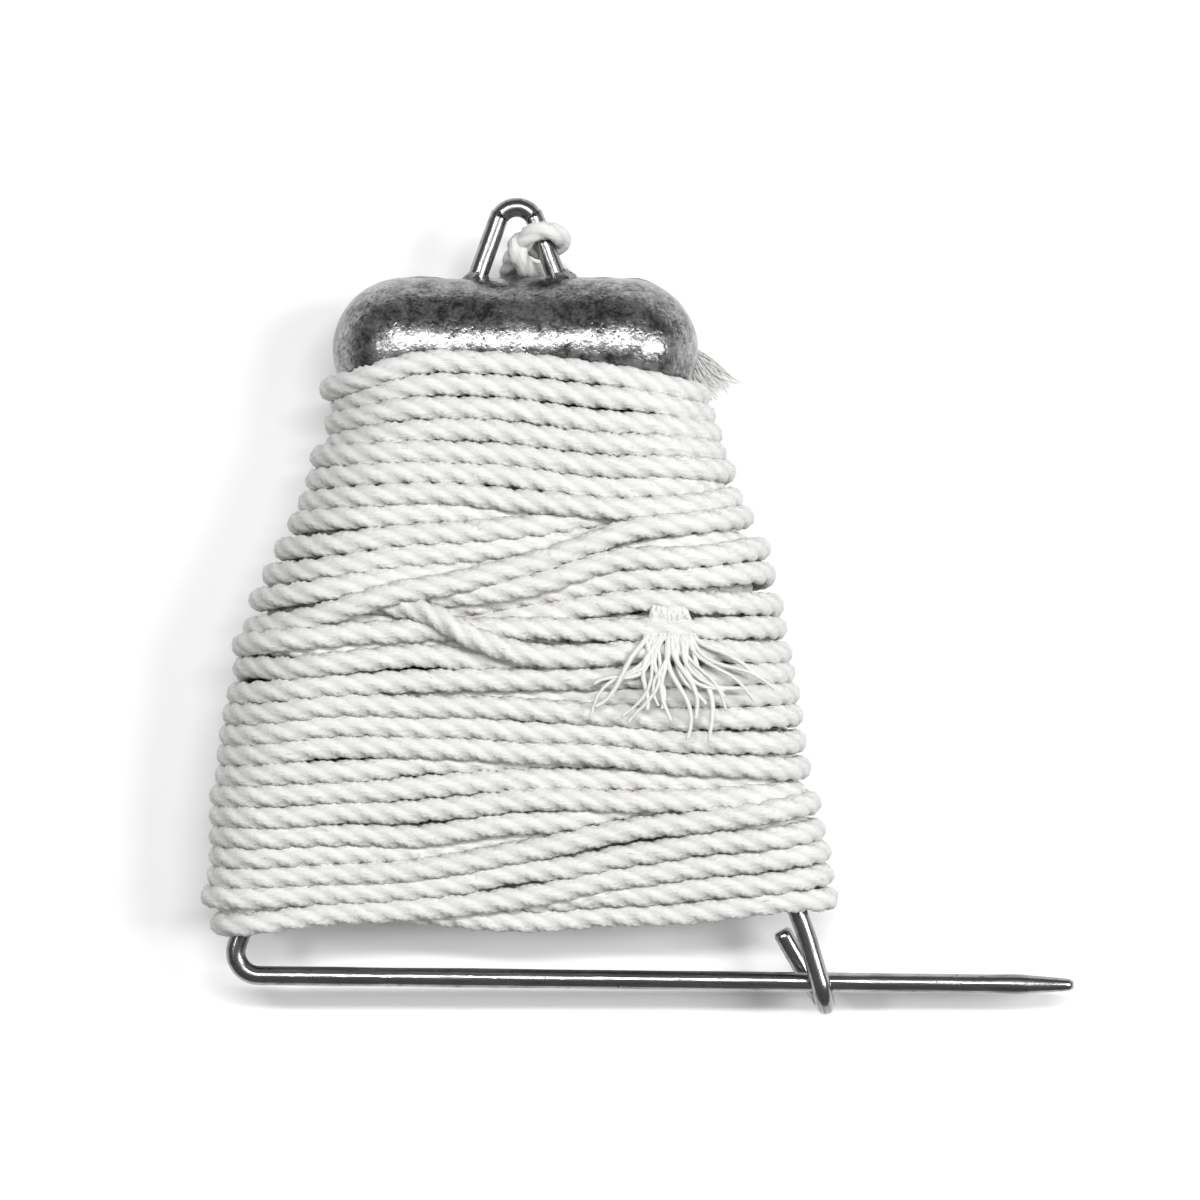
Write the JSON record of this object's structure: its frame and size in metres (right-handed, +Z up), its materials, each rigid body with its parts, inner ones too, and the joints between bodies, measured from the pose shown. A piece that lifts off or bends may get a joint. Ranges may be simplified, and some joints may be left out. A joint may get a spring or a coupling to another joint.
{
  "type": "plumb bob",
  "caption": "Plumb bob on a sprung wire line winder: lead bar cast on a safety-pin wire frame, with hanging loop, spike arm, J hook and a wound cotton line.",
  "frame": {"origin": "on the surface that the winding's flat back lies on, under the middle of the whole part's outline", "axes": "+X along the spike arm towards its point, +Y from the spike arm towards the hanging loop, +Z up from the surface through the flat winding"},
  "size_m": [0.1087, 0.1024, 0.0263],
  "materials": {
    "wire": "drawn steel wire, dull grey with bright rubbed streaks",
    "lead": "cast lead, dark mottled oxide with bright worn spots",
    "line": "white three-strand twisted cotton"
  },
  "bodies": {
    "frame": {"hanging_loop": "wire", "left_leg": "wire", "right_leg": "wire", "corner_bend": "wire", "spring_hook": "wire", "cast_weight": "lead", "line_winding": "line", "line_knot": "line", "line_lead": "line", "line_tail": "line", "tail_fray": "line", "free_end_fray": "line"},
    "spike_arm": {"spike_arm": "wire"}
  },
  "joints": [
    {"name": "spike_spring", "type": "hinge", "parent": "frame", "child": "spike_arm", "pos_m": [-0.0477, -0.04602, 0.0126], "axis": [0, 0, 1], "range_deg": [0, 4], "stiffness_Nm_per_rad": 3, "springref_deg": -2.86}
  ]
}
